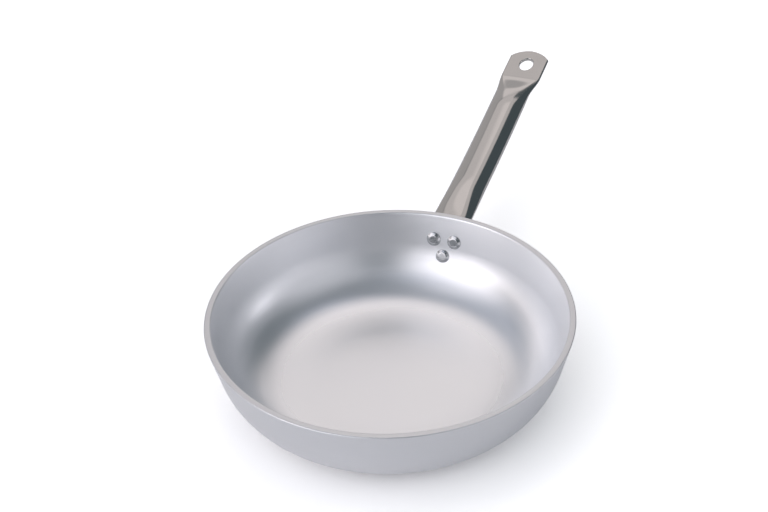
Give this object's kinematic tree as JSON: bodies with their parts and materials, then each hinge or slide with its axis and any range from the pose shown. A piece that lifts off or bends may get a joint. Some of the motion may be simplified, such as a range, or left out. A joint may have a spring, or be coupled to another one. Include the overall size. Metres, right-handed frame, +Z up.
{
  "type": "deep frying pan",
  "caption": "Deep flared frying pan of thick satin aluminium with a riveted polished tubular steel handle ending in a flat hanging tab with an eye.",
  "frame": {"origin": "centre of the flat base's underside, on the hob", "axes": "+Z up along the bowl's axis, +X along the handle from the bowl to the hanging tab"},
  "size_m": [0.5367, 0.2796, 0.0876],
  "materials": {
    "bowl_aluminium": "satin, fine turning marks",
    "handle_steel": "polished stainless",
    "rivet_metal": "satin"
  },
  "bodies": {
    "root": {"pan_body": "bowl_aluminium", "handle": "handle_steel", "rivet_upper_left": "rivet_metal", "rivet_upper_right": "rivet_metal", "rivet_lower": "rivet_metal"}
  },
  "joints": []
}
